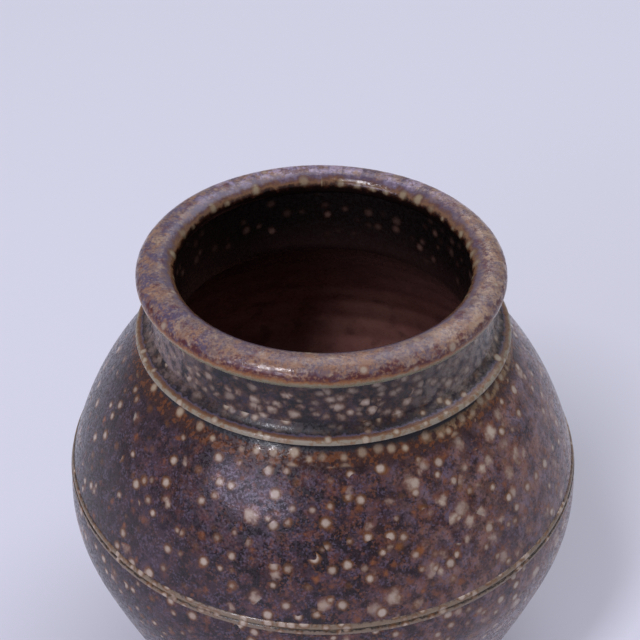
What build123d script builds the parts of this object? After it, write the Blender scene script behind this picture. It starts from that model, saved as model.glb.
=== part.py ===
from build123d import *
import os
from math import atan2, cos, degrees, radians, sin, sqrt

os.makedirs("parts", exist_ok=True)

# A small hand-thrown onggi jar: clay pieces luted together, under coats of glaze.
# Millimetres, +Z up, origin on the floor below the middle of the foot.
# Every piece is a section in radius and height, turned about the Z axis.
# Outer sizes are those of the glazed surface. The clay lies one coat of glaze below it.

# Wall and coats of glaze
wall_thickness = 4.6
glaze_thickness = 0.5
edge_glaze_thickness = 0.2
overrun = 20.0

# Foot and base slab
foot_radius = 36.0
foot_ring_width = 9.0
foot_bevel = 1.6
slab_thickness = 6.0
recess_depth = 0.6
glaze_line_height = 4.2

# Body: a tight round at the belly, with a long arc above it and another below it
belly_radius = 59.7
belly_height = 61.6
belly_round = 34.0
shoulder_rise = 42.0
shoulder_round = 76.3
lower_round = 228.8

# Seams between the courses of the wall: lapped, the inner edge lower than the outer
lower_seam_drop = 23.6
seam_lap = 3.0

# Raised double line over the upper seam
belly_line_rise = 7.9
belly_line_spacing = 1.2
belly_bead_radius = 0.65

# Throat and neck
throat_radius = 32.6
throat_round = 3.0
neck_height = 18.4
neck_wall = 3.6
neck_flare = 2.8
neck_hollow = 0.7
neck_base_overhang = 0.4

# Ridge round the foot of the neck
ridge_reach = 2.6
ridge_lift = 1.0
ridge_edge_thickness = 1.1
ridge_root_thickness = 2.2

# Rolled rim, with a crisp lip below its outer side
rim_width = 8.0
rim_thickness = 6.2
rim_overhang = 0.6
rim_seat_depth = 1.0
rim_lip_drop = 2.1

# Coil in the inside corner, and the throwing rings of the inner wall
coil_leg = 5.0
ring_pitch = 5.6
ring_round = 4.2
ring_depth = 0.35
ring_floor_gap = 12.0
ring_top_gap = 11.6

# Radii and heights that follow from these
recess_radius = foot_radius - foot_ring_width
neck_top_radius = throat_radius + neck_wall
neck_base_radius = neck_top_radius + neck_flare
shoulder_top_radius = neck_base_radius - neck_base_overhang
ridge_radius = neck_base_radius + ridge_reach
rim_radius = throat_radius - rim_overhang + rim_width / 2
lower_seam_height = belly_height - lower_seam_drop
belly_line_height = belly_height + belly_line_rise
shoulder_top_height = belly_height + shoulder_rise
neck_seam_height = shoulder_top_height - ridge_root_thickness / 2
ridge_height = shoulder_top_height + ridge_lift
jar_height = shoulder_top_height + neck_height
rim_height = jar_height - rim_thickness / 2
clay_inset = glaze_thickness
inner_clay_inset = glaze_thickness + wall_thickness


def polar(centre, radius, angle):
    return centre + Vector(radius * cos(radians(angle)), radius * sin(radians(angle)))


def angle_from(centre, point):
    return degrees(atan2(point.Y - centre.Y, point.X - centre.X))


# The three arcs of the body, in radius and height
belly_centre = Vector(belly_radius - belly_round, belly_height)
shoulder_top = Vector(shoulder_top_radius, shoulder_top_height)
foot_edge = Vector(foot_radius, 0)


# Centre of the arc that runs on smoothly from the belly's round and passes through end
def joining_centre(radius, end):
    reach = radius - belly_round
    chord = end - belly_centre
    along = (reach**2 - radius**2 + chord.length**2) / (2 * chord.length)
    aside = sqrt(reach**2 - along**2)
    turn = 1 if end.Y > belly_centre.Y else -1
    unit = chord.normalized()
    return belly_centre + unit * along + Vector(-unit.Y, unit.X) * aside * turn


shoulder_centre = joining_centre(shoulder_round, shoulder_top)
lower_centre = joining_centre(lower_round, foot_edge)
upper_turn = angle_from(shoulder_centre, belly_centre)
lower_turn = angle_from(lower_centre, belly_centre)


# The arc's centre and radius at a height on the body's surface, sunk by inset
def body_arc(height, inset):
    if height > belly_height + (belly_round - inset) * sin(radians(upper_turn)):
        return shoulder_centre, shoulder_round - inset
    if height < belly_height + (belly_round - inset) * sin(radians(lower_turn)):
        return lower_centre, lower_round - inset
    return belly_centre, belly_round - inset


def body_radius(height, inset):
    centre, radius = body_arc(height, inset)
    return centre.X + sqrt(radius**2 - (height - centre.Y) ** 2)


# Everything inside the body's surface, sunk by inset, between two heights
def body_section(inset, bottom, top):
    low_centre, low_radius = body_arc(bottom, inset)
    top_centre, top_radius = body_arc(top, inset)
    low_point = Vector(body_radius(bottom, inset), bottom)
    top_point = Vector(body_radius(top, inset), top)
    low_end = polar(belly_centre, belly_round - inset, lower_turn)
    high_end = polar(belly_centre, belly_round - inset, upper_turn)
    low_middle = (angle_from(low_centre, low_point) + lower_turn) / 2
    middle = (lower_turn + upper_turn) / 2
    high_middle = (angle_from(top_centre, top_point) + upper_turn) / 2
    outline = [
        Line((0, bottom), low_point),
        ThreePointArc(low_point, polar(low_centre, low_radius, low_middle), low_end),
        ThreePointArc(low_end, polar(belly_centre, belly_round - inset, middle), high_end),
        ThreePointArc(high_end, polar(top_centre, top_radius, high_middle), top_point),
        Line(top_point, (0, top)),
        Line((0, top), (0, bottom)),
    ]
    return make_face(Wire(outline).edges())


# A block of the section, from the axis outwards
def section_block(radius, bottom, top):
    return Pos(radius / 2, (bottom + top) / 2) * Rectangle(radius, top - bottom)


def section_disc(centre, radius):
    return Pos(centre.X, centre.Y) * Circle(radius)


# All that lies below a lapped seam, whose outer edge is at the given height
def below_seam(height):
    slope = seam_lap / wall_thickness
    outer = body_radius(height, clay_inset)
    far = outer + overrun
    corners = [
        (0, -overrun),
        (far, -overrun),
        (far, height + slope * overrun),
        (0, height - slope * outer),
    ]
    return make_face(Polyline(*corners, close=True).edges())


# The hollow of the body and throat. Each throwing ring bites a little into the wall.
def cavity_section(coat):
    inset = inner_clay_inset + coat
    floor = slab_thickness + coat
    radius = throat_radius + glaze_thickness - coat
    meeting = throat_meeting_height(inset, radius)
    hollow = body_section(inset, floor, meeting)
    throat = section_block(radius, meeting - overrun, jar_height + overrun)
    hollow += throat
    lip = hollow.vertices().sort_by_distance((radius, meeting, 0))[0]
    hollow = fillet([lip], throat_round + coat)
    lowest = slab_thickness + ring_floor_gap
    highest = shoulder_top_height - ring_top_gap
    for index in range(int((highest - lowest) / ring_pitch) + 1):
        height = lowest + index * ring_pitch
        centre, arc_radius = body_arc(height, inner_clay_inset)
        face = Vector(body_radius(height, inner_clay_inset), height)
        inward = (centre - face) * (1 / arc_radius)
        middle = face + inward * (ring_round - ring_depth)
        hollow += section_disc(middle, ring_round - coat)
    return hollow


# Height at which the shoulder's inner face comes in to the throat's radius
def throat_meeting_height(inset, radius):
    arc_radius = shoulder_round - inset
    return shoulder_centre.Y + sqrt(arc_radius**2 - (radius - shoulder_centre.X) ** 2)


# The hollow with its lower corner cut off by the smoothed coil
def coiled_cavity_section(coat):
    hollow = cavity_section(coat)
    floor = slab_thickness + coat
    corner_radius = body_radius(floor, inner_clay_inset + coat)
    corner = hollow.vertices().sort_by_distance((corner_radius, floor, 0))[0]
    return chamfer([corner], coil_leg)


# Neck, from the axis out to its hollow side, sunk by inset. It stands on the shoulder's flat top edge.
def neck_section(inset):
    top_point = Vector(neck_top_radius - inset, rim_height)
    base_point = Vector(neck_base_radius - inset, ridge_height)
    middle = (top_point + base_point) / 2 - Vector(neck_hollow, 0)
    outline = [
        Line((0, ridge_height), base_point),
        ThreePointArc(base_point, middle, top_point),
        Line(top_point, (0, rim_height)),
        Line((0, rim_height), (0, ridge_height)),
    ]
    upper = make_face(Wire(outline).edges())
    lower = section_block(shoulder_top_radius - inset, neck_seam_height, ridge_height)
    return upper + lower


# Ridge sunk by inset: its edge is a quarter round above and a crisp corner below
def ridge_section(inset):
    edge = ridge_edge_thickness - 2 * inset
    root_half = ridge_root_thickness / 2 - inset
    edge_centre = Vector(ridge_radius - ridge_edge_thickness, ridge_height - edge / 2)
    upper_edge = polar(edge_centre, edge, 90)
    lower_edge = polar(edge_centre, edge, 0)
    upper_root = Vector(neck_base_radius, ridge_height + root_half)
    lower_root = Vector(neck_base_radius, ridge_height - root_half)
    upper_inner = Vector(neck_top_radius, ridge_height + root_half)
    lower_inner = Vector(neck_top_radius, ridge_height - root_half)
    outline = [
        Line(upper_inner, upper_root),
        Line(upper_root, upper_edge),
        ThreePointArc(upper_edge, polar(edge_centre, edge, 45), lower_edge),
        Line(lower_edge, lower_root),
        Line(lower_root, lower_inner),
        Line(lower_inner, upper_inner),
    ]
    return make_face(Wire(outline).edges())


# Space below the rim's undercut, from the neck's clay out past the lip
def under_rim(coat):
    reach = sqrt(1 - (rim_lip_drop / (rim_thickness / 2)) ** 2)
    lip = Vector(rim_radius + rim_width / 2 * reach, rim_height - rim_lip_drop + coat)
    neck = Vector(neck_top_radius - clay_inset, rim_height - rim_seat_depth)
    far = neck + (lip - neck) * 2
    floor = rim_height - rim_thickness
    return make_face(Polyline(neck, far, (far.X, floor), (neck.X, floor), close=True).edges())


# Rolled rim sunk by inset, its underside raised by coat
def rim_section(inset, coat):
    roll = Pos(rim_radius, rim_height) * Ellipse(rim_width / 2 - inset, rim_thickness / 2 - inset)
    return roll - under_rim(coat)


# Two beads side by side, seated on the clay, with a thin line between them
def bead_section(coat):
    beads = []
    for side in (-1, 1):
        height = belly_line_height + side * belly_line_spacing / 2
        centre = Vector(body_radius(height, clay_inset), height)
        beads.append(section_disc(centre, belly_bead_radius + coat))
    return beads[0] + beads[1]


def write_turned(name, section):
    solid = revolve(Plane.XZ * section, Axis.Z)
    export_step(solid, os.path.join("parts", name + ".step"))


# Clay: the wall between its outer face and the hollow, cut into courses at the seams
clay_cavity = cavity_section(0)
clay_body = body_section(clay_inset, 0, neck_seam_height)
clay_wall = clay_body - clay_cavity
slab_block = section_block(foot_radius + overrun, 0, slab_thickness)
below_lower_seam = below_seam(lower_seam_height)
below_upper_seam = below_seam(belly_line_height)


def base_slab():
    slab = clay_body & slab_block
    rim_corner = slab.vertices().sort_by_distance((body_radius(0, clay_inset), 0, 0))[0]
    slab = chamfer([rim_corner], foot_bevel)
    return slab - section_block(recess_radius, 0, recess_depth)


def corner_coil():
    return clay_cavity - coiled_cavity_section(0)


def lower_wall():
    return (clay_wall & below_lower_seam) - slab_block


def belly_wall():
    return (clay_wall & below_upper_seam) - below_lower_seam - slab_block


def shoulder_wall():
    return clay_wall - below_upper_seam


def neck_collar():
    standing = section_block(neck_base_radius, neck_seam_height, rim_height - rim_seat_depth)
    return (neck_section(clay_inset) & standing) - clay_cavity


clay_sections = {
    "base_slab": base_slab(),
    "corner_coil": corner_coil(),
    "lower_wall": lower_wall(),
    "belly_wall": belly_wall(),
    "shoulder_wall": shoulder_wall(),
    "neck_collar": neck_collar(),
}
standing_clay = clay_wall + clay_sections["neck_collar"]
clay_sections["belly_band"] = bead_section(0) - clay_wall
clay_sections["neck_ridge"] = ridge_section(edge_glaze_thickness) - standing_clay
clay_sections["rim_roll"] = rim_section(clay_inset, edge_glaze_thickness) - standing_clay
all_clay = standing_clay
for added in ("base_slab", "corner_coil", "belly_band", "neck_ridge", "rim_roll"):
    all_clay += clay_sections[added]

# Glaze: each coat is what lies between the glazed surface and the clay
glazed_rim = rim_section(0, 0)
glazed_ridge = ridge_section(0)
glazed_beads = bead_section(edge_glaze_thickness)
glazed_body = body_section(0, glaze_line_height, shoulder_top_height)
body_coat = glazed_body - all_clay - clay_cavity - glazed_beads - glazed_ridge
above_line = section_block(belly_radius + overrun, belly_line_height, jar_height)
below_line = section_block(belly_radius + overrun, 0, belly_line_height)


def neck_coat():
    return neck_section(0) - all_clay - clay_cavity - glazed_rim - glazed_ridge - glazed_body


def liner_coat():
    hollow = clay_cavity & section_block(belly_radius, 0, rim_height)
    return hollow - all_clay - coiled_cavity_section(glaze_thickness) - glazed_rim


glaze_sections = {
    "rim_glaze": glazed_rim - all_clay,
    "ridge_glaze": glazed_ridge - all_clay,
    "neck_glaze": neck_coat(),
    "shoulder_glaze": body_coat & above_line,
    "band_glaze": glazed_beads - all_clay,
    "lower_glaze": body_coat & below_line,
    "liner_glaze": liner_coat(),
}

for name, section in {**clay_sections, **glaze_sections}.items():
    write_turned(name, section)
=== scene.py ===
from math import asin, atan2, cos, degrees, hypot, pi, radians, sin

import bmesh
import bpy
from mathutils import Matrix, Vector, noise


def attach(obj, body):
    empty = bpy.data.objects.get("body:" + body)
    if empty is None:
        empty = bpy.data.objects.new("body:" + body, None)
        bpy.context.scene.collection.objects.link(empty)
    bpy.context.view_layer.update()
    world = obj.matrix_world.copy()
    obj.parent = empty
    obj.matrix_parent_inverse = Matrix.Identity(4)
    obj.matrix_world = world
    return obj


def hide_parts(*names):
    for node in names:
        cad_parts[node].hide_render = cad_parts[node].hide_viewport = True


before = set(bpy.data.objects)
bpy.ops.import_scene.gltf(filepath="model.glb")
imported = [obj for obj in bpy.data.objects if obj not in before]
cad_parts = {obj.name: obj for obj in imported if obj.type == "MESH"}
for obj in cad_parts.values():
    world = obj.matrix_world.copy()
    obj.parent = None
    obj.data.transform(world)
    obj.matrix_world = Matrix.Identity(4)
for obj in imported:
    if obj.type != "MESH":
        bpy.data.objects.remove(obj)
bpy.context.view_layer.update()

mm = 0.001
print("frame loaded:", len(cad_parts), "nodes")

# The jar's outline: each arc is (radius of its centre, height of its centre, its own radius), in mm
outline = {
    "shoulderArc": (-14.672, 48.976, 76.3),
    "bellyArc": (25.7, 61.6, 34.0),
    "lowerArc": (-161.482, 115.543, 228.8),
    "upperTurn": 17.36,  # angle about both centres where the shoulder's arc meets the belly's
    "lowerTurn": -16.08,  # and where the belly's arc meets the lower one
    "beltHeight": 69.5,
    "rollCentre": (36.0, 118.9),  # middle of the rim's section
    "coat": 0.5,  # thickness of a glaze coat
}
shoulderArc, bellyArc, lowerArc = (outline[name] for name in ("shoulderArc", "bellyArc", "lowerArc"))
upperTurn, lowerTurn = outline["upperTurn"], outline["lowerTurn"]
rollCentre, coat = outline["rollCentre"], outline["coat"]

# What the potter's hands leave: the jar is a little out of round, in mm, except close to its axis
throwing = {"wave": 0.16, "wavesAround": 1.3, "waveHeight": 22.0, "clearOfAxis": 1.0}
mergeGap = 0.001  # in mm


def hexColour(code):
    channels = [int(code[i:i + 2], 16) / 255 for i in (0, 2, 4)]
    linear = [c / 12.92 if c <= 0.04045 else ((c + 0.055) / 1.055) ** 2.4 for c in channels]
    return (*linear, 1.0)


# Adds a shader node. Its inputs are named, or given in the order of the sockets in use. Each one is a value,
# a socket, or a node, whose first output in use is then linked. A ramp also takes its stops.
def addNode(tree, kind, inputs=(), stops=(), **settings):
    node = tree.nodes.new("ShaderNode" + kind)
    for name, value in settings.items():
        setattr(node, name, value)
    if isinstance(inputs, dict):
        pairs = [(node.inputs[name], value) for name, value in inputs.items()]
    else:
        pairs = zip([socket for socket in node.inputs if socket.enabled], inputs)
    for socket, value in pairs:
        if isinstance(value, bpy.types.Node):
            value = next(output for output in value.outputs if output.enabled)
        if isinstance(value, bpy.types.NodeSocket):
            tree.links.new(value, socket)
        else:
            socket.default_value = value
    for index, (position, colour) in enumerate(stops):
        elements = node.color_ramp.elements
        element = elements[index] if index < len(elements) else elements.new(position)
        element.position = position
        element.color = colour
    return node


def newMaterial(name):
    material = bpy.data.materials.new(name)
    material.use_nodes = True
    material.node_tree.nodes.clear()
    return material, material.node_tree


def addObject(name, data):
    added = bpy.data.objects.new(name, data)
    bpy.context.scene.collection.objects.link(added)
    return added


# Sections are drawn in the plane of radius and height, in mm, then turned about the jar's axis

def startSection(radius, height):
    section = bmesh.new()
    return section, section.verts.new((radius, 0, height))


def lineTo(section, last, radius, height, steps=1):
    step = (Vector((radius, 0, height)) - last.co) / steps
    for _ in range(steps):
        last = bmesh.ops.extrude_vert_indiv(section, verts=[last])["verts"][0]
        bmesh.ops.translate(section, verts=[last], vec=step)
    return last


def linesTo(section, last, points):
    for radius, height in points:
        last = lineTo(section, last, radius, height)
    return last


# Turns the last point about the arc's centre. Angles are in degrees, and grow from outward to upward.
def arcTo(section, last, arc, endAngle, steps):
    start = degrees(atan2(last.co.z - arc[1], last.co.x - arc[0]))
    turn = (endAngle - start + 180) % 360 - 180
    swept = bmesh.ops.spin(section, geom=[last], cent=(arc[0], 0, arc[1]), axis=(0, -1, 0),
                           angle=radians(turn), steps=steps)
    return [item for item in swept["geom_last"] if isinstance(item, bmesh.types.BMVert)][0]


def arcAngle(arc, height, inset=0.0):
    return degrees(asin((height - arc[1]) / (arc[2] - inset)))


def arcPoint(arc, angle, inset=0.0):
    reach = arc[2] - inset
    return arc[0] + reach * cos(radians(angle)), arc[1] + reach * sin(radians(angle))


# The point of the arc at this height, with the arc sunk by inset
def pointAt(arc, height, inset=0.0):
    return arcPoint(arc, arcAngle(arc, height, inset), inset)


# The place at this reach and height that lies in the same direction from the axis as the point
def sameBearing(point, reach, height=0.0):
    angle = atan2(point.y, point.x)
    return Vector((reach * cos(angle), reach * sin(angle), height))


def clampedShare(distance, length):
    return min(1.0, max(0.0, distance / length))


# How far the wall wanders from a true circle at this place, in mm
def wander(point):
    place = sameBearing(point, throwing["wavesAround"], point.z / throwing["waveHeight"])
    return throwing["wave"] * noise.noise(place)


def turnSection(section, name, sizes, reshape=None):
    bmesh.ops.spin(section, geom=section.verts[:] + section.edges[:], cent=(0, 0, 0), axis=(0, 0, 1),
                   angle=2 * pi, steps=sizes["stepsAround"], use_merge=True)
    bmesh.ops.remove_doubles(section, verts=section.verts[:], dist=mergeGap)
    bmesh.ops.recalc_face_normals(section, faces=section.faces[:])
    for vert in section.verts:
        flat = Vector((vert.co.x, vert.co.y, 0))
        if flat.length > throwing["clearOfAxis"]:
            vert.co += flat.normalized() * wander(vert.co)
            if reshape:
                vert.co += reshape(vert.co)
    bmesh.ops.scale(section, vec=(mm, mm, mm), verts=section.verts[:])
    mesh = bpy.data.meshes.new(name)
    section.to_mesh(mesh)
    section.free()
    mesh.shade_smooth()
    piece = addObject(name, mesh)
    smooth = piece.modifiers.new("smooth", "SUBSURF")
    smooth.levels = smooth.render_levels = sizes["detail"]
    return piece


def closeSection(section, last, first):
    bmesh.ops.contextual_create(section, geom=[last, first])


def softenCorner(section, corner, size, steps):
    bmesh.ops.bevel(section, geom=[corner], offset=size, offset_type="OFFSET", segments=steps, profile=0.5,
                    affect="VERTICES", material=-1)


def finishPiece(piece, material, slot, *nodes):
    piece.data.materials.append(material)
    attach(piece, "root")
    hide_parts(*nodes)


# The measures of a place on the pot that the glaze layers read, worked out once for each material, in mm.
# "side" grows to the right and "back" away from the front, both from the axis.
# "turn" is the angle about the look's centre, in degrees: 0 outside, 90 on the crown, 180 inside.
def potPlace(tree, look):
    place = addNode(tree, "VectorMath", {0: addNode(tree, "TexCoord").outputs["Object"], "Scale": 1 / mm},
                    operation="SCALE")
    split = addNode(tree, "SeparateXYZ", [place])
    side, back, height = split.outputs
    flat = addNode(tree, "VectorMath", [place, (1, 1, 0)], operation="MULTIPLY")
    radius = addNode(tree, "VectorMath", [flat], operation="LENGTH")
    outward = addNode(tree, "VectorMath", [flat], operation="NORMALIZE")
    pot = {"place": place, "side": side, "back": back, "height": height, "relief": []}
    # Runs: a direction times a radius, with the height squeezed, draws the glaze out down the wall
    around = addNode(tree, "VectorMath", {0: outward, "Scale": look["runReach"]}, operation="SCALE")
    squeezed = addNode(tree, "Math", [height, look["runSqueeze"]], operation="MULTIPLY")
    lift = addNode(tree, "CombineXYZ", {"Z": squeezed})
    pot["runs"] = addNode(tree, "VectorMath", [around, lift], operation="ADD")
    # Leaning: the place turned as it rises, with its height stretched, so that marks lean and lie flatter
    twist = addNode(tree, "Math", [height, radians(look["lean"])], operation="MULTIPLY")
    leaning = addNode(tree, "VectorRotate", {"Vector": place, "Angle": twist}, rotation_type="Z_AXIS")
    pot["leaning"] = addNode(tree, "VectorMath", [leaning, (1, 1, look["squash"])], operation="MULTIPLY")
    # Crowding: how close the marks lie, in patches
    crowd = {"Vector": place, "Scale": 1 / look["crowdGrain"], "Detail": 2.0}
    pot["crowding"] = addNode(tree, "TexNoise", crowd)
    # Turn: its seam is moved from the inside to straight down, past every stop
    above = addNode(tree, "Math", [height, look["centre"][1]], operation="SUBTRACT")
    out = addNode(tree, "Math", [radius, look["centre"][0]], operation="SUBTRACT")
    angle = addNode(tree, "Math", [above, out], operation="ARCTAN2")
    turned = addNode(tree, "Math", [angle, 180 / pi], operation="MULTIPLY")
    under = addNode(tree, "Math", [turned, -90.0], operation="LESS_THAN")
    pot["turn"] = addNode(tree, "Math", [under, 360.0, turned], operation="MULTIPLY_ADD")
    # Ring: the way round from the front, and the way up the slope, for spots in rows
    forward = addNode(tree, "Math", [back, -1.0], operation="MULTIPLY")
    bearing = addNode(tree, "Math", [side, forward], operation="ARCTAN2")
    way = addNode(tree, "Math", [bearing, look["ringRadius"]], operation="MULTIPLY")
    slope = addNode(tree, "Math", [height, look["ringSlope"]], operation="MULTIPLY")
    pot["ring"] = addNode(tree, "CombineXYZ", [way, slope])
    return pot


# Where on the pot a layer shows. Each place is (measure, from, to, strength at from, strength at to).
def whereShown(tree, pot, places, amount):
    for measure, low, high, least, most in places:
        part = addNode(tree, "MapRange", [pot[measure], low, high, least, most],
                       interpolation_type="SMOOTHSTEP")
        amount = addNode(tree, "Math", [amount, part], operation="MULTIPLY")
    return amount


# The middle of noise's range, which it seldom leaves, is stretched to a whole one
noiseSpan = {"crowd": (0.35, 0.65), "ragged": (0.25, 0.75), "wobble": (0.2, 0.8)}
crystalEdge = 0.15  # how softly a crystal comes and goes, as a share of the chance
plainCloud = {"follows": "place", "detail": 4.0, "broken": 0.6, "where": ()}
plainSpot = {"dimensions": "3D", "where": (), "fades": ()}


# Clouds of another colour in the glaze, soft where their edges are far apart and crisp where they are close
def clouds(tree, pot, layer, ground):
    layer = {**plainCloud, **layer}
    cloud = addNode(tree, "TexNoise", {"Vector": pot[layer["follows"]], "Scale": 1 / layer["grain"],
                                       "Detail": layer["detail"], "Roughness": layer["broken"]})
    amount = addNode(tree, "MapRange", [cloud, *layer["edges"], 0.0, layer["amount"]],
                     interpolation_type="SMOOTHSTEP")
    amount = whereShown(tree, pot, layer["where"], amount)
    return addNode(tree, "Mix", [amount, ground, hexColour(layer["colour"])], data_type="RGBA")


# Crystals that grew in the glass as it cooled: cells of one colour each, in loose crowds
def crystals(tree, pot, layer, ground):
    shifted = addNode(tree, "VectorMath", [pot["place"], (layer["seed"], 0, 0)], operation="ADD")
    cell = addNode(tree, "TexVoronoi", {"Vector": shifted, "Scale": 1 / layer["grain"]})
    pick = addNode(tree, "SeparateColor", [cell.outputs["Color"]])
    crowd = addNode(tree, "TexNoise", {"Vector": shifted, "Scale": 1 / layer["crowdGrain"], "Detail": 3.0,
                                       "Roughness": 0.6})
    chance = addNode(tree, "MapRange", [crowd, *noiseSpan["crowd"], -layer["spread"], layer["spread"]])
    chance = addNode(tree, "Math", [pick, chance], operation="ADD")
    needed = 1 - layer["share"]
    amount = addNode(tree, "MapRange", [chance, needed, needed + crystalEdge, 0.0, layer["amount"]])
    amount = whereShown(tree, pot, layer.get("where", ()), amount)
    return addNode(tree, "Mix", [amount, ground, hexColour(layer["colour"])], data_type="RGBA")


# Bands where the glaze breaks over an edge or gathers in a hollow. Each stop is (place, colour, strength).
def zones(tree, pot, layer, ground):
    ragged = addNode(tree, "TexNoise", {"Vector": pot["place"], "Scale": 1 / layer["raggedGrain"],
                                        "Detail": 4.0, "Roughness": 0.65})
    shift = addNode(tree, "MapRange", [ragged, *noiseSpan["ragged"], -layer["ragged"], layer["ragged"]])
    measure = addNode(tree, "Math", [pot[layer["measure"]], shift], operation="ADD")
    low, high = layer["stops"][0][0], layer["stops"][-1][0]
    share = addNode(tree, "MapRange", [measure, low, high])
    stops = [((at - low) / (high - low), (*hexColour(colour)[:3], amount))
             for at, colour, amount in layer["stops"]]
    ramp = addNode(tree, "ValToRGB", [share], stops)
    return addNode(tree, "Mix", [ramp.outputs["Alpha"], ground, ramp.outputs["Color"]], data_type="RGBA")


# Rutile spots that melt up through the glaze, one to a cell: a pale heart in an amber halo.
# "where" says how many there are in a place, and "fades" how strong they are.
def spots(tree, pot, kind, ground):
    kind = {**plainSpot, **kind}
    ragged = {"Vector": pot["place"], "Scale": 1 / kind["raggedGrain"], "Detail": 3.0}
    wobble = addNode(tree, "MapRange", [addNode(tree, "TexNoise", ragged), *noiseSpan["wobble"],
                                        -kind["ragged"], kind["ragged"]])
    crowd = whereShown(tree, pot, kind["where"], kind["presence"])
    for part in ("halo", "heart"):
        look = kind[part]
        size, most = look["size"], look["amount"]
        shift = Vector(kind["seed"]) + Vector((0, 0, look["lift"]))
        lifted = addNode(tree, "VectorMath", [pot[kind["follows"]], shift], operation="SUBTRACT")
        cells = {"Vector": lifted, "Scale": 1 / kind["cell"], "Randomness": kind["strewn"]}
        cell = addNode(tree, "TexVoronoi", cells, voronoi_dimensions=kind["dimensions"])
        pick = addNode(tree, "SeparateColor", [cell.outputs["Color"]])
        reach = addNode(tree, "MapRange", [pick.outputs[1], 0.0, 1.0, size * kind["smallest"], size])
        edge = addNode(tree, "Math", [cell, kind["cell"], wobble], operation="MULTIPLY_ADD")
        depth = addNode(tree, "Math", [reach, edge], operation="SUBTRACT")
        shown = addNode(tree, "Math", [pick, crowd], operation="LESS_THAN")
        strength = addNode(tree, "MapRange", [pick.outputs[2], 0.0, 1.0, most * kind["faintest"], most])
        strength = addNode(tree, "Math", [strength, shown], operation="MULTIPLY")
        strength = whereShown(tree, pot, kind["fades"], strength)
        amount = addNode(tree, "MapRange", [depth, 0.0, look["soft"]], interpolation_type="SMOOTHSTEP")
        amount = addNode(tree, "Math", [amount, strength], operation="MULTIPLY")
        ground = addNode(tree, "Mix", [amount, ground, hexColour(look["colour"])], data_type="RGBA")
    pot["relief"].append(addNode(tree, "Math", [amount, kind["relief"]], operation="MULTIPLY"))
    return ground


def layColours(tree, pot, look):
    colour = hexColour(look["ground"])
    for lay, layer in look["layers"]:
        colour = lay(tree, pot, layer, colour)
    return colour


# Joins the colour, the roughness and the relief, whose height is in mm, with what the spots raise
def finishSurface(tree, pot, look, colour, roughness, height):
    for raised in pot["relief"]:
        height = addNode(tree, "Math", [height, raised], operation="ADD")
    bump = addNode(tree, "Bump", {"Strength": 1.0, "Distance": mm, "Height": height})
    shader = addNode(tree, "BsdfPrincipled", {"Base Color": colour, "Roughness": roughness,
                                              "IOR": look["ior"], "Normal": bump})
    addNode(tree, "OutputMaterial", {"Surface": shader})


# A reduction-fired iron glaze over stoneware: satin glass with an orange-peel skin, and glossier pools that
# break its highlights into grains
def firedGlaze(name, look):
    material, tree = newMaterial(name)
    pot = potPlace(tree, look)
    colour = layColours(tree, pot, look)
    skin = look["skin"]
    height = 0.0
    for grain, depth in skin["relief"]:
        peel = addNode(tree, "TexNoise", {"Vector": pot["place"], "Scale": 1 / grain, "Detail": 3.0,
                                          "Roughness": 0.6})
        height = addNode(tree, "Math", [peel, depth, height], operation="MULTIPLY_ADD")
    pools = addNode(tree, "TexNoise", {"Vector": pot["place"], "Scale": 1 / skin["poolGrain"], "Detail": 4.0,
                                       "Roughness": 0.7})
    if "thickWhere" in skin:
        thick = whereShown(tree, pot, skin["thickWhere"], skin["thickAmount"])
        pools = addNode(tree, "Math", [pools, thick], operation="ADD")
    gloss = addNode(tree, "MapRange", [pools, *skin["poolEdges"], skin["dull"], skin["glossy"]],
                    interpolation_type="SMOOTHSTEP")
    finishSurface(tree, pot, look, colour, gloss, height)
    return material


# Fired stoneware: dull, toasted brown where flame touched it, with sand and dark grog that roughen its skin
def bareStoneware(name, look):
    material, tree = newMaterial(name)
    pot = potPlace(tree, look)
    colour = layColours(tree, pot, look)
    sand = addNode(tree, "TexNoise", {"Vector": pot["place"], "Scale": 1 / look["sand"], "Detail": 4.0,
                                      "Roughness": 0.75})
    height = addNode(tree, "Math", [sand, look["sandDepth"]], operation="MULTIPLY")
    finishSurface(tree, pot, look, colour, look["roughness"], height)
    return material


# Layers shared by the outer coats. Grains, sizes and heights are in mm.
ringRadius = 43.2  # where the cells of a row of spots have their full size
creamSpots = {
    "follows": "place", "seed": (0, 0, 0), "strewn": 0.8, "cell": 3.7, "presence": 0.95,
    "smallest": 0.6, "faintest": 0.6, "ragged": 0.15, "raggedGrain": 0.8, "relief": 0.04,
    "halo": {"lift": 0.1, "size": 1.8, "soft": 0.8, "colour": "6e451e", "amount": 0.9},
    "heart": {"lift": 0.0, "size": 1.25, "soft": 0.7, "colour": "b7a899", "amount": 1.0},
    "where": [("crowding", 0.38, 0.6, 0.5, 1.2), ("side", -10.0, 45.0, 0.95, 1.2)],
}
amberSpots = {
    "follows": "place", "seed": (17, 0, 0), "strewn": 1.0, "cell": 2.6, "presence": 0.5,
    "smallest": 0.4, "faintest": 0.3, "ragged": 0.5, "raggedGrain": 0.9, "relief": 0.02,
    "halo": {"lift": 0.0, "size": 1.8, "soft": 1.3, "colour": "522b22", "amount": 0.8},
    "heart": {"lift": 0.0, "size": 1.2, "soft": 0.9, "colour": "87532f", "amount": 0.85},
    "where": [("side", -45.0, 40.0, 0.6, 1.4)],
}
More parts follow.
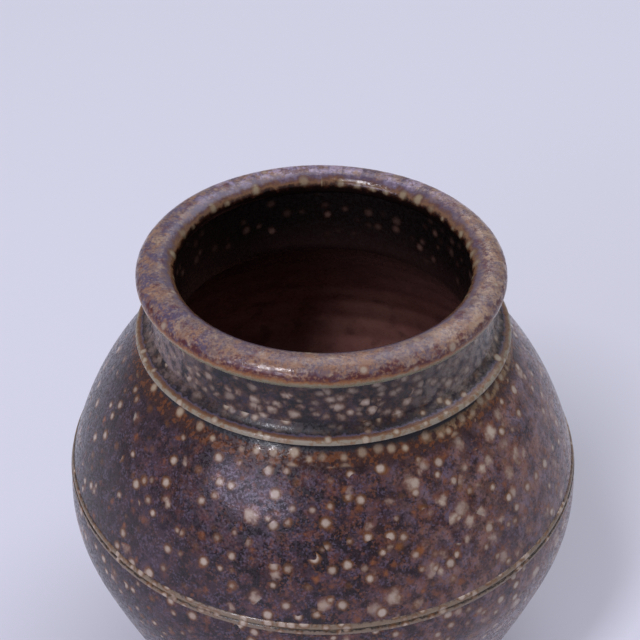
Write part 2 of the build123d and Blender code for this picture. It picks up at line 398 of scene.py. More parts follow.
tanBlotches = {
    "follows": "place", "seed": (41, 0, 0), "strewn": 1.0, "cell": 4.6, "presence": 1.0,
    "smallest": 0.5, "faintest": 0.5, "ragged": 0.9, "raggedGrain": 1.6, "relief": 0.02,
    "halo": {"lift": 0.3, "size": 3.2, "soft": 2.0, "colour": "7a4c36", "amount": 0.85},
    "heart": {"lift": 0.0, "size": 2.2, "soft": 1.7, "colour": "b6a796", "amount": 1.0},
    "where": [("side", -6.0, 34.0, 0.15, 1.0)],
}
# The row of spots in the amber band just under the ridge, 76 cells round the pot
rowSpots = {
    **creamSpots, "follows": "ring", "dimensions": "2D", "seed": (0, 0.66, 0), "strewn": 0.55,
    "cell": 2 * pi * ringRadius / 76, "presence": 1.0, "smallest": 0.6, "faintest": 0.4,
    "halo": {"lift": 0.0, "size": 2.2, "soft": 1.3, "colour": "6b3d1c", "amount": 0.9},
    "heart": {"lift": 0.0, "size": 1.55, "soft": 0.95, "colour": "ad9c84", "amount": 1.0},
    "where": [("crowding", 0.34, 0.5, 0.7, 1.0), ("side", -25.0, 0.0, 0.4, 1.0)],
    "fades": [("height", 99.1, 99.6, 0.0, 1.0), ("height", 101.9, 102.3, 1.0, 0.0)],
}
# Blobs that hang inside the rim, where the roll's thin glaze meets the dark throat, 50 cells round the pot
rimBlobs = {
    **rowSpots, "seed": (0, -0.5, 0), "strewn": 0.3, "cell": 2 * pi * ringRadius / 50, "ragged": 0.4,
    "relief": 0.0,
    "halo": {"lift": 0.0, "size": 2.6, "soft": 1.4, "colour": "5d3d26", "amount": 0.7},
    "heart": {"lift": 0.0, "size": 1.85, "soft": 1.3, "colour": "988a70", "amount": 1.0},
    "where": [("side", -25.0, 10.0, 0.5, 1.0)],
    "fades": [("turn", 120.0, 140.0, 0.0, 1.0), ("turn", 170.0, 182.0, 1.0, 0.0)],
}
neckFlecks = {
    "follows": "leaning", "seed": (3, 0, 0), "strewn": 0.9, "cell": 2.6, "presence": 0.95,
    "smallest": 0.5, "faintest": 0.4, "ragged": 0.5, "raggedGrain": 1.0, "relief": 0.04,
    "halo": {"lift": 0.1, "size": 2.35, "soft": 1.4, "colour": "62422f", "amount": 0.95},
    "heart": {"lift": 0.0, "size": 1.7, "soft": 1.45, "colour": "aa9c8d", "amount": 1.0},
    "where": [("crowding", 0.36, 0.52, 0.55, 1.2), ("height", 113.0, 116.5, 1.0, 0.5)],
    "fades": [("height", 105.7, 106.6, 0.3, 1.0)],
}
satinSkin = {
    "relief": [(0.45, 0.022), (5.0, 0.14)], "poolGrain": 0.7, "poolEdges": (0.42, 0.58),
    "dull": 0.42, "glossy": 0.12,
}
potLook = {
    "ior": 1.46, "centre": rollCentre, "lean": 0.0, "squash": 1.0, "crowdGrain": 7.0,
    "runReach": 50.0, "runSqueeze": 0.12, "ringRadius": ringRadius, "ringSlope": 1.36, "skin": satinSkin,
}
# Rust and tan haze to the right, slate and dark brown to the left, near-black pools, and fine crystals
bodyLayers = [
    (clouds, {"colour": "4c2b25", "grain": 12.0, "edges": (0.42, 0.62), "amount": 0.75,
              "where": [("side", -50.0, 40.0, 0.4, 1.0)]}),
    (clouds, {"colour": "4c3e4f", "grain": 6.0, "edges": (0.42, 0.66), "amount": 0.6,
              "where": [("side", -40.0, 40.0, 1.0, 0.5)]}),
    (clouds, {"colour": "6b3a28", "grain": 3.2, "edges": (0.46, 0.7), "amount": 0.6, "detail": 3.0,
              "where": [("side", -50.0, 40.0, 0.3, 1.2)]}),
    (clouds, {"colour": "8c6a60", "grain": 5.0, "edges": (0.38, 0.62), "amount": 0.8,
              "where": [("side", 0.0, 40.0, 0.0, 1.0)]}),
    (clouds, {"colour": "766672", "grain": 4.0, "edges": (0.44, 0.66), "amount": 0.75,
              "where": [("side", 0.0, 40.0, 0.1, 1.0)]}),
    (clouds, {"colour": "150c12", "grain": 3.0, "edges": (0.44, 0.58), "amount": 0.9, "detail": 3.0,
              "where": [("side", 0.0, 46.0, 1.0, 0.5), ("side", -45.0, -10.0, 0.7, 1.0)]}),
    (clouds, {"colour": "22130f", "grain": 9.0, "edges": (0.3, 0.5), "amount": 0.8,
              "where": [("side", -54.0, -34.0, 1.0, 0.0)]}),
    (crystals, {"colour": "685c70", "grain": 0.4, "seed": 5.0, "crowdGrain": 2.4, "spread": 0.35,
                "share": 0.22, "amount": 0.4}),
    (crystals, {"colour": "7e4e34", "grain": 0.45, "seed": 11.0, "crowdGrain": 2.8, "spread": 0.35,
                "share": 0.2, "amount": 0.4, "where": [("side", -45.0, 0.0, 0.3, 1.0)]}),
    (crystals, {"colour": "120b10", "grain": 0.45, "seed": 23.0, "crowdGrain": 2.0, "spread": 0.3,
                "share": 0.25, "amount": 0.5}),
    (clouds, {"colour": "46384a", "grain": 0.5, "edges": (0.5, 0.75), "amount": 0.35, "follows": "runs"}),
]
bodyGround = "35242b"

# Shoulder: dark purple-brown, slate under the ridge where glaze gathers and where shade is painted, and
# amber with a row of spots below
shoulderCoat = {
    "topHeight": 103.8, "bottomHeight": 70.2, "stepsAround": 128, "detail": 2,
    "look": {
        **potLook, "ground": bodyGround,
        "layers": [
            *bodyLayers, (spots, amberSpots), (spots, tanBlotches),
            # Painted shade: from 101.8 up, the slate band under the ridge is darkened for the ridge's shadow
            # as well as for the glaze gathered there
            (zones, {"measure": "height", "ragged": 0.6, "raggedGrain": 1.3,
                     "stops": [(97.6, "2a1518", 0.0), (98.9, "2a1518", 0.6), (99.5, "38201a", 0.85),
                               (101.2, "3c2018", 0.85), (101.8, "2a2a30", 0.95), (103.6, "222228", 1.0)]}),
            (crystals, {"colour": "774522", "grain": 0.7, "seed": 31.0, "crowdGrain": 2.0, "spread": 0.4,
                        "share": 0.35, "amount": 0.6,
                        "where": [("height", 98.6, 99.4, 0.0, 1.0), ("height", 101.4, 101.8, 1.0, 0.0)]}),
            (clouds, {"colour": "94795a", "grain": 1.8, "edges": (0.42, 0.56), "amount": 0.8, "detail": 3.0,
                      "where": [("side", 16.0, 28.0, 0.0, 1.0), ("height", 99.8, 100.5, 0.0, 1.0),
                                ("height", 101.5, 101.9, 1.0, 0.0)]}),
            (spots, rowSpots), (spots, {**creamSpots, "fades": [("height", 98.6, 99.4, 1.0, 0.0)]}),
        ],
    },
}

topHeight, bottomHeight = shoulderCoat["topHeight"], shoulderCoat["bottomHeight"]
section, first = startSection(*pointAt(shoulderArc, topHeight))
last = arcTo(section, first, shoulderArc, upperTurn, steps=16)
last = arcTo(section, last, bellyArc, arcAngle(bellyArc, bottomHeight), steps=1)
last = lineTo(section, last, *pointAt(bellyArc, bottomHeight, coat))
last = arcTo(section, last, bellyArc, upperTurn, steps=1)
last = arcTo(section, last, shoulderArc, arcAngle(shoulderArc, topHeight, coat), steps=8)
closeSection(section, last, first)
shoulder = turnSection(section, "shoulderCoat", shoulderCoat)
finishPiece(shoulder, firedGlaze("ironGlazeShoulder", shoulderCoat["look"]), "iron_coat", "shoulder_glaze")
print("shoulder coat made")

# Body below the belly line: the same glaze, browner and rolled thicker at its lower edge, which wavers
lowerCoat = {
    "topHeight": 68.8, "lineHeight": 4.4, "stepsAround": 128, "detail": 2,
    "rollTop": 1.2, "rollMiddle": 0.5,  # above the glaze line
    "rollOut": 0.15, "lineIn": 0.1,  # out from the wall, and into it
    "lineWaver": 0.7, "lineWaves": 2.2, "waverSeed": 7.0, "waverFade": 6.0,
    "look": {
        **potLook, "ground": bodyGround,
        "layers": [
            *bodyLayers,
            (zones, {"measure": "height", "ragged": 1.4, "raggedGrain": 2.2,
                     "stops": [(4.0, "6d4526", 0.9), (5.4, "6b3d22", 0.7), (8.5, "2b1c20", 0.6),
                               (14.0, bodyGround, 0.0)]}),
            (spots, amberSpots), (spots, tanBlotches), (spots, creamSpots),
        ],
    },
}


def lowerEdge(point):
    fade = max(0.0, 1 - (point.z - lowerCoat["lineHeight"]) / lowerCoat["waverFade"])
    place = sameBearing(point, lowerCoat["lineWaves"], lowerCoat["waverSeed"])
    return Vector((0, 0, noise.noise(place) * lowerCoat["lineWaver"] * fade))


topHeight, line = lowerCoat["topHeight"], lowerCoat["lineHeight"]
section, first = startSection(*pointAt(bellyArc, topHeight))
last = arcTo(section, first, bellyArc, lowerTurn, steps=5)
last = arcTo(section, last, lowerArc, arcAngle(lowerArc, line + lowerCoat["rollTop"]), steps=18)
last = linesTo(section, last, [
    arcPoint(lowerArc, arcAngle(lowerArc, line + lowerCoat["rollMiddle"]), -lowerCoat["rollOut"]),
    arcPoint(lowerArc, arcAngle(lowerArc, line), lowerCoat["lineIn"]),
    pointAt(lowerArc, line, coat),
])
last = arcTo(section, last, lowerArc, lowerTurn, steps=9)
last = arcTo(section, last, bellyArc, arcAngle(bellyArc, topHeight, coat), steps=3)
closeSection(section, last, first)
lower = turnSection(section, "lowerCoat", lowerCoat, lowerEdge)
finishPiece(lower, firedGlaze("ironGlazeLower", lowerCoat["look"]), "iron_coat", "lower_glaze")
print("lower coat made")

# Neck: nearly black, with a tan haze, and crowded with pale flecks that lean and run together
neckLayers = [
    (clouds, {"colour": "2d1a1c", "grain": 5.0, "edges": (0.42, 0.62), "amount": 0.7}),
    (clouds, {"colour": "4d3830", "grain": 2.4, "edges": (0.48, 0.7), "amount": 0.5, "detail": 3.0,
              "follows": "leaning"}),
    (clouds, {"colour": "352c40", "grain": 3.0, "edges": (0.5, 0.7), "amount": 0.4, "detail": 3.0}),
    # Lighter grey haze on the right and left sides: partly the glaze's own haze, partly a painted sheen
    # where those sides are seen at a grazing angle
    (clouds, {"colour": "8a7c72", "grain": 2.6, "edges": (0.36, 0.62), "amount": 0.9, "follows": "leaning",
              "where": [("side", 12.0, 30.0, 0.0, 1.0)]}),
    (clouds, {"colour": "806c66", "grain": 2.4, "edges": (0.38, 0.62), "amount": 0.9, "follows": "leaning",
              "where": [("side", -34.0, -20.0, 1.0, 0.0)]}),
    (crystals, {"colour": "443a4c", "grain": 0.4, "seed": 5.0, "crowdGrain": 2.4, "spread": 0.35,
                "share": 0.2, "amount": 0.3}),
    (crystals, {"colour": "553828", "grain": 0.42, "seed": 11.0, "crowdGrain": 2.8, "spread": 0.35,
                "share": 0.25, "amount": 0.4}),
]
neckCoat = {
    "arc": (75.166, 119.106, 38.967), "topHeight": 118.0, "bottomHeight": 105.2,
    "stepsAround": 96, "detail": 2,
    "look": {
        **potLook, "ground": "110c10", "lean": 0.15, "squash": 1.45,
        "layers": [
            *neckLayers,
            # Painted shade: the zone darkens the neck's foot in the hollow above the ridge, and its top
            # under the rim's roll
            (zones, {"measure": "height", "ragged": 0.3, "raggedGrain": 2.6,
                     "stops": [(105.8, "131015", 0.9), (106.5, "131015", 0.6), (107.4, "131015", 0.0),
                               (115.4, "131015", 0.0), (116.8, "110e13", 0.8)]}),
            (spots, neckFlecks),
        ],
    },
}

neckArc = neckCoat["arc"]
top, bottom = (180 - arcAngle(neckArc, neckCoat[name]) for name in ("topHeight", "bottomHeight"))
section, first = startSection(*arcPoint(neckArc, top))
last = arcTo(section, first, neckArc, bottom, steps=8)
last = lineTo(section, last, last.co.x - coat, neckCoat["bottomHeight"])
last = arcTo(section, last, (neckArc[0] - coat, neckArc[1]), top, steps=4)
closeSection(section, last, first)
neck = turnSection(section, "neckCoat", neckCoat)
finishPiece(neck, firedGlaze("ironGlazeNeck", neckCoat["look"]), "iron_coat", "neck_glaze")
print("neck coat made")

# Ridge: a thin flange with a hollow top and a crisp corner, over which the glaze breaks amber and
# grey-green. Painted shade darkens its underside and its hollow, and a lilac band on the hollow's slope is a
# painted sheen
ridgeEdge = (40.5, 104.05, 1.1)  # the arc of its round upper edge
ridgeCoat = {
    "root": (36.9, 108.6), "hollow": [(38.35, 106.75), (38.85, 106.1), (39.5, 105.6), (40.1, 105.3)],
    "underside": [(39.0, 103.5), (37.6, 103.3)], "cornerRound": 0.14, "stepsAround": 128, "detail": 2,
    "look": {
        **neckCoat["look"], "centre": ridgeEdge[:2],
        "skin": {**satinSkin, "dull": 0.48, "glossy": 0.26},
        "layers": [
            *neckLayers, (spots, neckFlecks),
            # Painted shade: dark under the corner (-60) and in the hollow of the top (118 on). Painted
            # sheen: the lilac band at 110. The pale face and the amber are the glaze breaking over the edge
            (zones, {"measure": "turn", "ragged": 12.0, "raggedGrain": 1.3,
                     "stops": [(-60.0, "1c1a1f", 1.0), (-26.0, "8a8374", 1.0), (52.0, "8f8674", 1.0),
                               (70.0, "80604a", 0.9), (98.0, "6b4a3a", 0.85), (110.0, "5b5266", 0.75),
                               (118.0, "1f191e", 0.9), (129.0, "141116", 0.2)]}),
            (clouds, {"colour": "7a5228", "grain": 1.7, "edges": (0.48, 0.62), "amount": 0.7, "detail": 3.0,
                      "where": [("turn", -20.0, 40.0, 0.4, 1.0), ("turn", 70.0, 90.0, 1.0, 0.0)]}),
            (spots, {**creamSpots, "cell": 2.8, "presence": 0.8, "relief": 0.0, "where": (),
                     "halo": {**creamSpots["halo"], "size": 1.6},
                     "heart": {**creamSpots["heart"], "size": 1.2, "colour": "b5a995"}}),
        ],
    },
}
section, first = startSection(*ridgeCoat["root"])
last = linesTo(section, first, [*ridgeCoat["hollow"], (ridgeEdge[0], ridgeEdge[1] + ridgeEdge[2])])
corner = arcTo(section, last, ridgeEdge, 0.0, steps=4)
last = linesTo(section, corner, ridgeCoat["underside"])
closeSection(section, last, first)
softenCorner(section, corner, ridgeCoat["cornerRound"], steps=2)
ridge = turnSection(section, "ridgeCoat", ridgeCoat)
finishPiece(ridge, firedGlaze("breakingGlazeRidge", ridgeCoat["look"]), "breaking_coat", "ridge_glaze")
print("ridge coat made")

# Rim: a roll with a crisp lip under its outer side, mottled tan, slate and maroon, and grey-green at the
# lip. Painted shade darkens its underside and its inside towards the throat, and a painted lilac sheen lies
# on its far side over the glaze's own lilac patches
rimCoat = {
    "halfWidth": 4.0, "halfHeight": 3.1, "lipTurn": -42.64, "innerTurn": 216.0,
    "backTurns": (216, 190, 160, 130, 100, 70, 40, 10, -20),
    "underside": [(38.7, 117.1), (35.7, 117.93), (37.3, 117.3)], "lipRound": 0.12,
    "outerLean": -0.35, "leanFrom": 34.5, "leanOver": 4.0,  # the roll's outside lies further to the left
    "dent": 0.11, "dentWaves": 2.1, "dentSeed": 3.0, "stepsAround": 128, "detail": 2,
    "look": {
        **potLook, "ground": "76605a", "crowdGrain": 5.0,
        "layers": [
            (clouds, {"colour": "8c6850", "grain": 6.5, "edges": (0.46, 0.56), "amount": 0.8,
                      "detail": 3.0}),
            (clouds, {"colour": "ac927c", "grain": 4.0, "edges": (0.45, 0.57), "amount": 0.7, "detail": 5.0,
                      "where": [("side", 8.0, 26.0, 0.0, 1.0)]}),
            (clouds, {"colour": "a18c78", "grain": 3.4, "edges": (0.54, 0.64), "amount": 0.7}),
            (clouds, {"colour": "4f465f", "grain": 5.0, "edges": (0.5, 0.57), "amount": 0.85,
                      "where": [("side", -34.0, 0.0, 1.0, 0.45)]}),
            # Lilac patches on the far side: partly the glaze's own mottling, partly a painted lilac sheen
            (clouds, {"colour": "a496b2", "grain": 3.4, "edges": (0.44, 0.56), "amount": 0.75,
                      "where": [("back", 14.0, 32.0, 0.0, 1.0)]}),
            (clouds, {"colour": "493c50", "grain": 5.0, "edges": (0.53, 0.6), "amount": 0.75,
                      "follows": "runs", "where": [("back", 10.0, 28.0, 0.0, 1.0)]}),
            (clouds, {"colour": "54495c", "grain": 1.5, "edges": (0.52, 0.62), "amount": 0.5,
                      "broken": 0.7}),
            (clouds, {"colour": "5a3035", "grain": 3.6, "edges": (0.56, 0.63), "amount": 0.8,
                      "detail": 5.0}),
            (crystals, {"colour": "4b4358", "grain": 0.42, "seed": 5.0, "crowdGrain": 2.0, "spread": 0.3,
                        "share": 0.3, "amount": 0.5}),
            (crystals, {"colour": "9c8674", "grain": 0.42, "seed": 11.0, "crowdGrain": 2.4, "spread": 0.3,
                        "share": 0.25, "amount": 0.4}),
            (crystals, {"colour": "4d2c28", "grain": 0.45, "seed": 23.0, "crowdGrain": 2.2, "spread": 0.35,
                        "share": 0.15, "amount": 0.4}),
            (zones, {"measure": "turn", "ragged": 26.0, "raggedGrain": 2.0,
                     "stops": [(-14.0, "75401f", 0.0), (-6.0, "75401f", 0.95), (4.0, "4e1b17", 1.0),
                               (18.0, "48202a", 0.85), (30.0, "4a3340", 0.0)]}),
            # Painted shade: dark (-50) on the underside past the lip. The grey-green lip and the amber above
            # it are the glaze breaking
            (zones, {"measure": "turn", "ragged": 8.0, "raggedGrain": 1.2,
                     "stops": [(-50.0, "1c1a1f", 1.0), (-42.0, "837f6e", 1.0), (-14.0, "87826b", 1.0),
                               (0.0, "8a5b2e", 0.9), (9.0, "8a5b2e", 0.0)]}),
            (clouds, {"colour": "96745a", "grain": 0.8, "edges": (0.5, 0.64), "amount": 0.6, "detail": 3.0,
                      "where": [("turn", 2.0, 14.0, 0.0, 1.0), ("turn", 60.0, 90.0, 1.0, 0.3),
                                ("turn", 130.0, 145.0, 1.0, 0.0)]}),
            # Towards the throat the inside turns near-black: partly the dark throat glaze, partly painted
            # shade inside the roll
            (zones, {"measure": "turn", "ragged": 14.0, "raggedGrain": 2.0,
                     "stops": [(112.0, "544b60", 0.0), (132.0, "51485d", 0.7), (146.0, "5b3c30", 0.8),
                               (156.0, "7c5a3c", 0.9), (166.0, "3a2017", 1.0), (178.0, "150d0c", 1.0),
                               (220.0, "0e0a0a", 1.0)]}),
            (spots, rimBlobs),
            (spots, {**creamSpots, "cell": 3.6, "presence": 0.5, "relief": 0.0,
                     "halo": {**creamSpots["halo"], "colour": "7a5038", "amount": 0.5},
                     "heart": {**creamSpots["heart"], "colour": "a0917f"},
                     "where": [("side", -30.0, 30.0, 1.2, 0.7)],
                     "fades": [("turn", 130.0, 150.0, 1.0, 0.0)]}),
        ],
        "skin": {"relief": [(0.5, 0.045), (1.6, 0.06), (5.0, 0.14)], "poolGrain": 2.0,
                 "poolEdges": (0.44, 0.56), "dull": 0.38, "glossy": 0.09,
                 "thickWhere": [("turn", 105.0, 125.0, 0.0, 1.0)], "thickAmount": 0.15},
    },
}


def rollBack(turn):
    across, up = rimCoat["halfWidth"] - coat, rimCoat["halfHeight"] - coat
    return rollCentre[0] + across * cos(radians(turn)), rollCentre[1] + up * sin(radians(turn))


# The roll as the potter's fingers left it: wider on the left, and a little dented
def leanRim(point):
    outer = clampedShare(hypot(point.x, point.y) - rimCoat["leanFrom"], rimCoat["leanOver"])
    place = sameBearing(point, rimCoat["dentWaves"], rimCoat["dentSeed"] + outer)
    dent = noise.noise(place) * rimCoat["dent"]
    return Vector((rimCoat["outerLean"] * outer, 0, dent)) + sameBearing(point, 1.0) * dent


# The roll is drawn as a unit circle first, and then scaled to its width and height
unitCircle = (0, 0, 1)
lipTurn, innerTurn = rimCoat["lipTurn"], rimCoat["innerTurn"]
section, first = startSection(*arcPoint(unitCircle, lipTurn))
last = arcTo(section, first, unitCircle, (lipTurn + innerTurn) / 2, steps=14)
last = arcTo(section, last, unitCircle, innerTurn, steps=14)
bmesh.ops.scale(section, vec=(rimCoat["halfWidth"], 1, rimCoat["halfHeight"]), verts=section.verts[:])
bmesh.ops.translate(section, vec=(rollCentre[0], 0, rollCentre[1]), verts=section.verts[:])
last = linesTo(section, last, [rollBack(turn) for turn in rimCoat["backTurns"]])
last = linesTo(section, last, rimCoat["underside"])
closeSection(section, last, first)
softenCorner(section, first, rimCoat["lipRound"], steps=2)
rim = turnSection(section, "rimCoat", rimCoat, leanRim)
finishPiece(rim, firedGlaze("breakingGlazeRim", rimCoat["look"]), "rim_coat", "rim_glaze")
print("rim coat made")

# Belly line: two thin raised rings with a dark line between, where the glaze breaks pale
beltCoat = {
    "spacing": 1.2, "beadRadius": 0.85, "beadTurn": 80.0, "stepsAround": 128, "detail": 1,
    "look": {
        **potLook, "ground": bodyGround,
        "layers": [
            *bodyLayers,
            # Painted shade: the darker edges at 67.9 and 71.1, at the foot of each bead
            (zones, {"measure": "height", "ragged": 0.3, "raggedGrain": 1.4,
                     "stops": [(67.9, "2c2024", 0.5), (68.3, "7c6c5c", 0.95), (69.2, "7c6c5c", 0.95),
                               (69.5, "1f1a1c", 1.0), (69.8, "86755e", 0.95), (70.7, "7c6c5c", 0.95),
                               (71.1, "2c2024", 0.5)]}),
            (spots, {**creamSpots, "cell": 2.4}),
        ],
    },
}


# A point of the clay under the body's coat at this height
def underCoat(height):
    return pointAt(bellyArc, height, coat)[0], height


lowBead, highBead = (outline["beltHeight"] + way * beltCoat["spacing"] / 2 for way in (-1, 1))
bead, beadTurn = beltCoat["beadRadius"], beltCoat["beadTurn"]
groove = degrees(asin((highBead - lowBead) / 2 / bead))
section, first = startSection(*underCoat(lowBead - bead))
last = first
for height, start, end in ((lowBead, -beadTurn, groove), (highBead, -groove, beadTurn)):
    centre = (*underCoat(height), bead)
    last = lineTo(section, last, *arcPoint(centre, start))
    last = arcTo(section, last, centre, end, steps=6)
last = lineTo(section, last, *underCoat(highBead + bead))
closeSection(section, last, first)
belt = turnSection(section, "beltCoat", beltCoat)
finishPiece(belt, firedGlaze("breakingGlazeBelt", beltCoat["look"]), "breaking_coat", "band_glaze")
print("belly line made")

# Inside: a thin red-brown coat over the throwing rings, darker in the throat, partly its own dark glaze and
# partly painted shade. Its back lies on the clay.
liner = {
    "inset": 5.6, "throatRadius": 32.6, "topHeight": 118.4, "floorHeight": 6.5, "cornerRound": 9.5,
    "throatRound": 1.7, "backReach": 26.0, "backHeight": 12.0, "backTop": 118.0,
    "ringPitch": 6.5, "ringDepth": 0.42, "ringsFrom": 14.0, "fadeUp": 6.0, "ringsTo": 98.0, "fadeOut": 4.0,
    "stepsAround": 96, "detail": 1,
    "look": {
        **potLook, "ground": "7e534d",
        "layers": [
            (clouds, {"colour": "95695f", "grain": 14.0, "edges": (0.42, 0.62), "amount": 0.8}),
            (clouds, {"colour": "432a28", "grain": 5.0, "edges": (0.5, 0.7), "amount": 0.5}),
            # Darker towards the throat: partly the throat's own dark glaze, partly painted shade
            (zones, {"measure": "height", "ragged": 1.2, "raggedGrain": 4.0,
                     "stops": [(70.0, "52312d", 0.0), (92.0, "34201f", 0.7), (101.0, "1c1110", 0.95),
                               (110.0, "0f0a09", 1.0), (119.0, "0c0808", 1.0)]}),
            (spots, {**creamSpots, "cell": 3.2, "presence": 0.8, "relief": 0.0, "faintest": 0.2,
                     "halo": {**creamSpots["halo"], "colour": "3a2119", "size": 2.0, "soft": 1.4},
                     "heart": {"lift": 0.0, "colour": "5f4a40", "size": 1.5, "soft": 1.1, "amount": 0.9},
                     "where": [("side", -30.0, 15.0, 0.5, 1.0)],
                     "fades": [("height", 104.0, 108.0, 0.0, 1.0), ("height", 115.0, 117.5, 1.0, 0.0)]}),
        ],
        "skin": {**satinSkin, "dull": 0.45, "glossy": 0.25},
    },
}


# The potter's fingers leave one long spiral groove
def throwingRings(point):
    fade = clampedShare(point.z - liner["ringsFrom"], liner["fadeUp"])
    fade *= clampedShare(liner["ringsTo"] - point.z, liner["fadeOut"])
    groove = 0.5 + 0.5 * sin(2 * pi * point.z / liner["ringPitch"] + atan2(point.y, point.x))
    return sameBearing(point, 1.0) * liner["ringDepth"] * groove ** 2 * fade


# The body's arcs sunk by inset, and the height where the throat meets them
def sunkArcs(inset, throat):
    arcs = [(*arc[:2], arc[2] - inset) for arc in (shoulderArc, bellyArc, lowerArc)]
    mouth = arcs[0][1] + (arcs[0][2] ** 2 - (throat - arcs[0][0]) ** 2) ** 0.5
    return *arcs, mouth


throat, floorHeight = liner["throatRadius"], liner["floorHeight"]
sunkShoulder, sunkBelly, sunkLower, mouth = sunkArcs(liner["inset"], throat)
section, first = startSection(throat, liner["topHeight"])
throatCorner = lineTo(section, first, throat, mouth, steps=8)
last = arcTo(section, throatCorner, sunkShoulder, upperTurn, steps=26)
last = arcTo(section, last, sunkBelly, lowerTurn, steps=10)
innerCorner = arcTo(section, last, sunkLower, arcAngle(sunkLower, floorHeight), steps=38)
last = lineTo(section, innerCorner, 0, floorHeight, steps=14)
last = lineTo(section, last, 0, floorHeight - coat)
last = lineTo(section, last, liner["backReach"], floorHeight - coat, steps=3)
sunkShoulder, sunkBelly, sunkLower, mouth = sunkArcs(liner["inset"] - coat, throat + coat)
last = lineTo(section, last, pointAt(sunkLower, liner["backHeight"])[0], liner["backHeight"], steps=2)
last = arcTo(section, last, sunkLower, lowerTurn, steps=12)
last = arcTo(section, last, sunkBelly, upperTurn, steps=6)
last = arcTo(section, last, sunkShoulder, arcAngle(sunkShoulder, mouth), steps=10)
last = lineTo(section, last, throat + coat, liner["backTop"], steps=3)
closeSection(section, last, first)
softenCorner(section, throatCorner, liner["throatRound"], steps=4)
softenCorner(section, innerCorner, liner["cornerRound"], steps=6)
inside = turnSection(section, "innerLiner", liner, throwingRings)
finishPiece(inside, firedGlaze("redBrownLinerGlaze", liner["look"]), "liner_coat", "liner_glaze")
print("inner liner made")

# Foot: the beaten slab, bare below the glaze line, with a worn outer edge and a shallow hollow
foot = {
    "hollowRadius": 27.0, "hollowDepth": 0.6, "hollowSlope": 0.6, "bevelReach": 1.6, "bevelRise": 1.36,
    "cornerRound": 0.5, "topHeight": 5.9, "stepsAround": 96, "detail": 1,
}
grogSpots = {
    "follows": "place", "seed": (9, 0, 0), "strewn": 1.0, "cell": 1.4, "presence": 0.35,
    "smallest": 0.5, "faintest": 0.6, "ragged": 0.1, "raggedGrain": 0.4, "relief": 0.04,
    "halo": {"lift": 0.0, "size": 0.4, "soft": 0.2, "colour": "5a3c2c", "amount": 0.4},
    "heart": {"lift": 0.0, "size": 0.3, "soft": 0.15, "colour": "35241d", "amount": 0.8},
}
clayLook = {
    **potLook, "ground": "8a5c40", "sand": 0.5, "sandDepth": 0.12, "roughness": 0.88, "ior": 1.45,
    "layers": [
        (clouds, {"colour": "6b3f2a", "grain": 11.0, "edges": (0.35, 0.65), "amount": 1.0}),
        (clouds, {"colour": "a67c5c", "grain": 0.5, "edges": (0.52, 0.75), "amount": 0.6, "broken": 0.75}),
        (spots, grogSpots),
    ],
}
clay = bareStoneware("bareStoneware", clayLook)
footArc = (*lowerArc[:2], lowerArc[2] - coat)
section, first = startSection(0, foot["hollowDepth"])
last = lineTo(section, first, foot["hollowRadius"] - foot["hollowSlope"], foot["hollowDepth"], steps=12)
last = lineTo(section, last, foot["hollowRadius"], 0.0)
worn = lineTo(section, last, pointAt(footArc, 0)[0] - foot["bevelReach"], 0.0, steps=4)
wornTop = lineTo(section, worn, *pointAt(footArc, foot["bevelRise"]))
last = arcTo(section, wornTop, footArc, arcAngle(footArc, foot["topHeight"]), steps=4)
last = lineTo(section, last, 0, foot["topHeight"], steps=3)
for corner in (worn, wornTop):
    softenCorner(section, corner, foot["cornerRound"], steps=3)
footPiece = turnSection(section, "footSlab", foot)
finishPiece(footPiece, clay, "bare_clay", "base_slab")
print("foot made")

# The clay under the glaze stays as the frame has it, with the clay's own finish
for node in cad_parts.values():
    if not node.hide_render:
        node.data.materials.clear()
        node.data.materials.append(clay)
print("clay finished")

# Studio: a plain pale floor under a dim even sky, a wide lamp high at the back right, a small key at the
# front left, and a low wide window below it. Sizes are in metres and angles in degrees.
studio = {
    "floorColour": "dcdde7", "floorRoughness": 0.9, "floorSize": 6.0, "fade": (0.45, 1.2),
    "backdropColour": "d0d0e2", "worldColour": "e4e4ec", "worldStrength": 0.36,
    "lampDistance": 2.0, "lampAim": (0, 0, 0.09),
}
lamps = {
    "overhead": {"azimuth": 146.0, "elevation": 60.0, "size": (2.0, 1.5), "watts": 20.0,
                 "colour": (0.89, 0.885, 0.98)},
    "key": {"azimuth": -36.0, "elevation": 53.0, "size": (0.27, 0.6), "watts": 16.5,
            "colour": (0.92, 0.91, 1.0)},
    "window": {"azimuth": -36.0, "elevation": 25.0, "size": (1.3, 0.36), "watts": 9.0,
               "colour": (0.8, 0.73, 1.0)},
}
backdropColour = hexColour(studio["backdropColour"])

floorMesh = bmesh.new()
bmesh.ops.create_grid(floorMesh, x_segments=2, y_segments=2, size=studio["floorSize"] / 2)
floorData = bpy.data.meshes.new("floor")
floorMesh.to_mesh(floorData)
floorMesh.free()
floor = addObject("floor", floorData)
paper, sweep = newMaterial("matPaper")
sheet = addNode(sweep, "BsdfPrincipled", {"Base Color": hexColour(studio["floorColour"]),
                                          "Roughness": studio["floorRoughness"]})
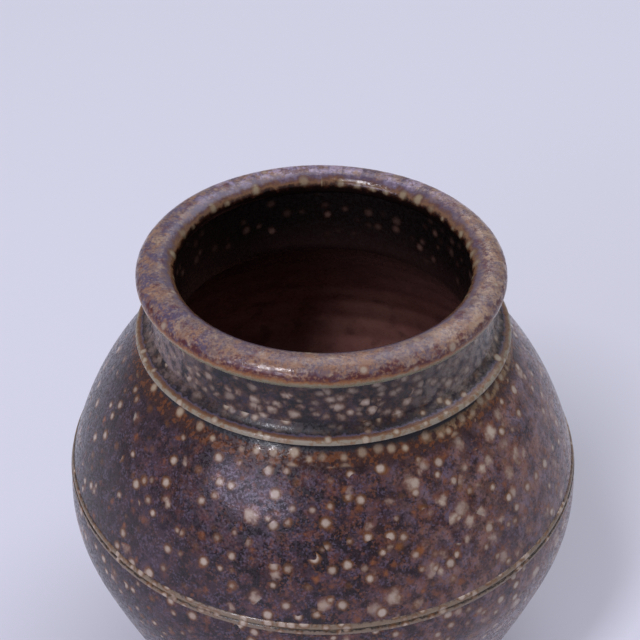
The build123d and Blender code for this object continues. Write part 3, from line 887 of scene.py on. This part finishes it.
# Well away from the jar the camera sees the floor fade into the backdrop, so that no horizon shows
away = addNode(sweep, "VectorMath", [addNode(sweep, "TexCoord").outputs["Object"]], operation="LENGTH")
fade = addNode(sweep, "MapRange", [away, *studio["fade"], 0.0, 1.0], interpolation_type="SMOOTHSTEP")
cameraRay = addNode(sweep, "LightPath").outputs["Is Camera Ray"]
fade = addNode(sweep, "Math", [fade, cameraRay], operation="MULTIPLY")
backdrop = addNode(sweep, "Emission", {"Color": backdropColour, "Strength": 1.0})
addNode(sweep, "OutputMaterial", {"Surface": addNode(sweep, "MixShader", [fade, sheet, backdrop])})
floor.data.materials.append(paper)

# The camera sees a pale backdrop, and the sky lights the jar more dimly
world = bpy.data.worlds.new("studio")
bpy.context.scene.world = world
world.use_nodes = True
sky = world.node_tree
sky.nodes.clear()
dim = addNode(sky, "Background", {"Color": hexColour(studio["worldColour"]),
                                  "Strength": studio["worldStrength"]})
pale = addNode(sky, "Background", {"Color": backdropColour, "Strength": 1.0})
seen = addNode(sky, "MixShader", [addNode(sky, "LightPath").outputs["Is Camera Ray"], dim, pale])
addNode(sky, "OutputWorld", {"Surface": seen})

for name, lamp in lamps.items():
    light = bpy.data.lights.new(name, "AREA")
    light.shape = "RECTANGLE"
    light.size, light.size_y = lamp["size"]
    light.energy = lamp["watts"]
    light.color = lamp["colour"]
    stand = addObject(name, light)
    turn, rise = radians(lamp["azimuth"]), radians(lamp["elevation"])
    away = Vector((sin(turn) * cos(rise), -cos(turn) * cos(rise), sin(rise)))
    stand.location = Vector(studio["lampAim"]) + away * studio["lampDistance"]
    stand.rotation_euler = away.to_track_quat("Z", "Y").to_euler()

# Camera: in front and above, 77 mm lens, looking 37 degrees down
view = {"place": (0.001, -0.2423, 0.2858), "down": 36.85, "left": 0.4, "lens": 76.61, "clipStart": 0.01}
lens = bpy.data.cameras.new("camera")
lens.lens = view["lens"]
lens.clip_start = view["clipStart"]
camera = addObject("camera", lens)
camera.location = view["place"]
camera.rotation_euler = (radians(90 - view["down"]), 0, radians(view["left"]))
bpy.context.scene.camera = camera
bpy.context.scene.view_settings.view_transform = "Standard"
print("studio set")
